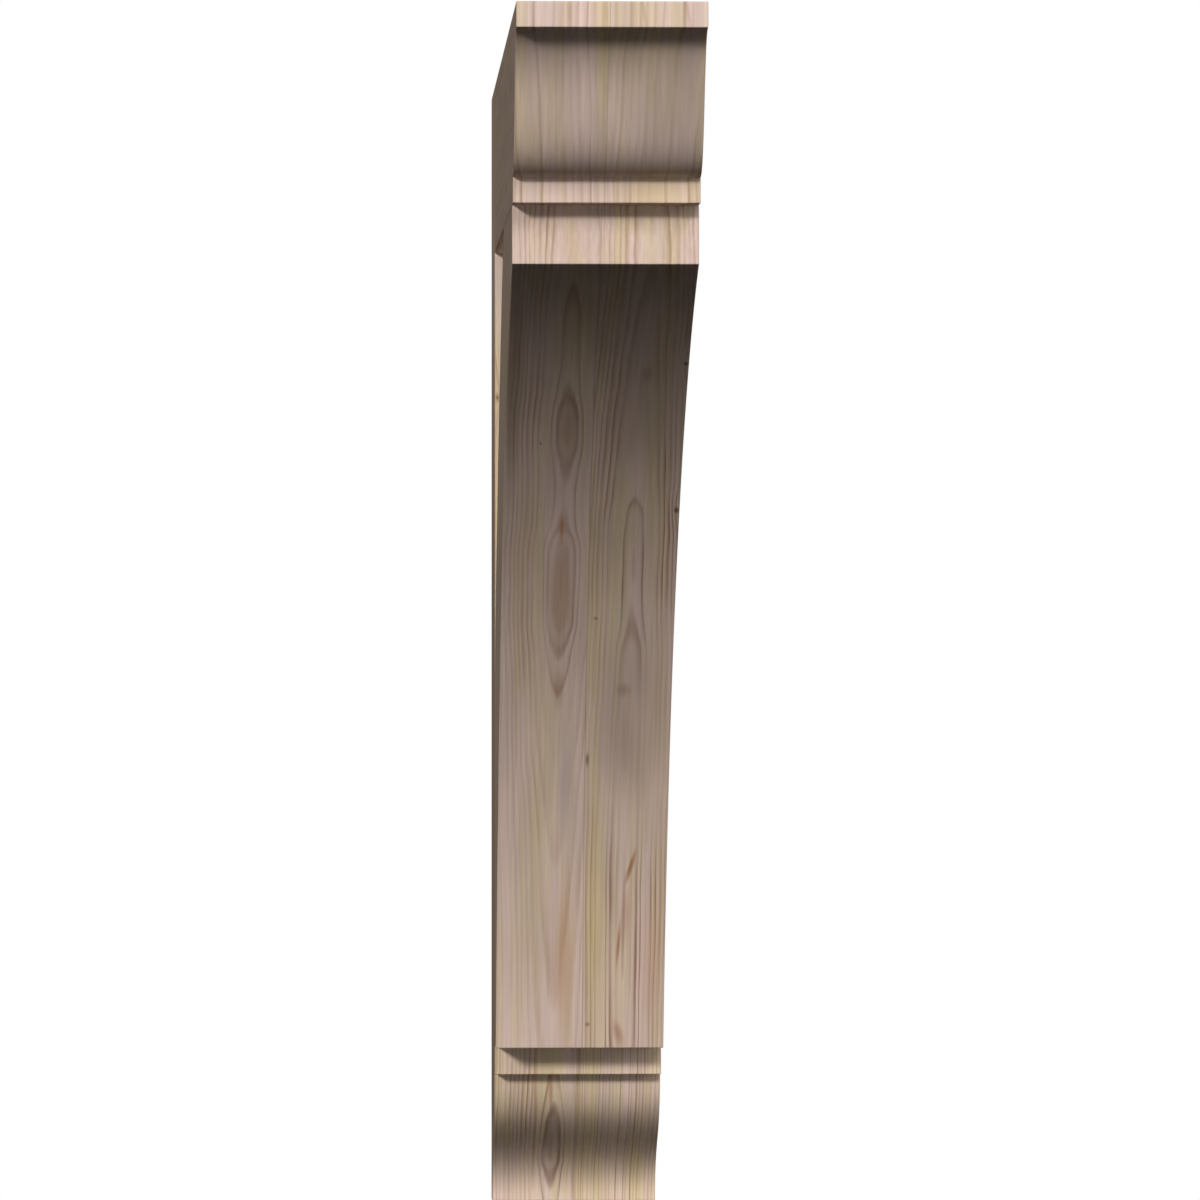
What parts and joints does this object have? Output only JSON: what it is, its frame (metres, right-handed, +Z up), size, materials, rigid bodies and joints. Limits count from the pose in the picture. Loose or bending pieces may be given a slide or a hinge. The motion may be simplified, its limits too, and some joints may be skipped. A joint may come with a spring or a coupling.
{
  "type": "wooden corbel bracket",
  "caption": "Wall bracket of square timber: a top beam, an upright post and a curved brace between them, with cyma cut ends.",
  "frame": {"origin": "middle of the post's back face, which lies flat on the wall", "axes": "+Z up along the post, -Y out from the wall along the beam, X across the width"},
  "size_m": [0.1396, 0.944, 0.944],
  "materials": {
    "planed_fir": "smooth planed fir, unfinished, matt"
  },
  "bodies": {
    "root": {"top_beam": "planed_fir", "wall_post": "planed_fir", "curved_brace": "planed_fir"}
  },
  "joints": []
}
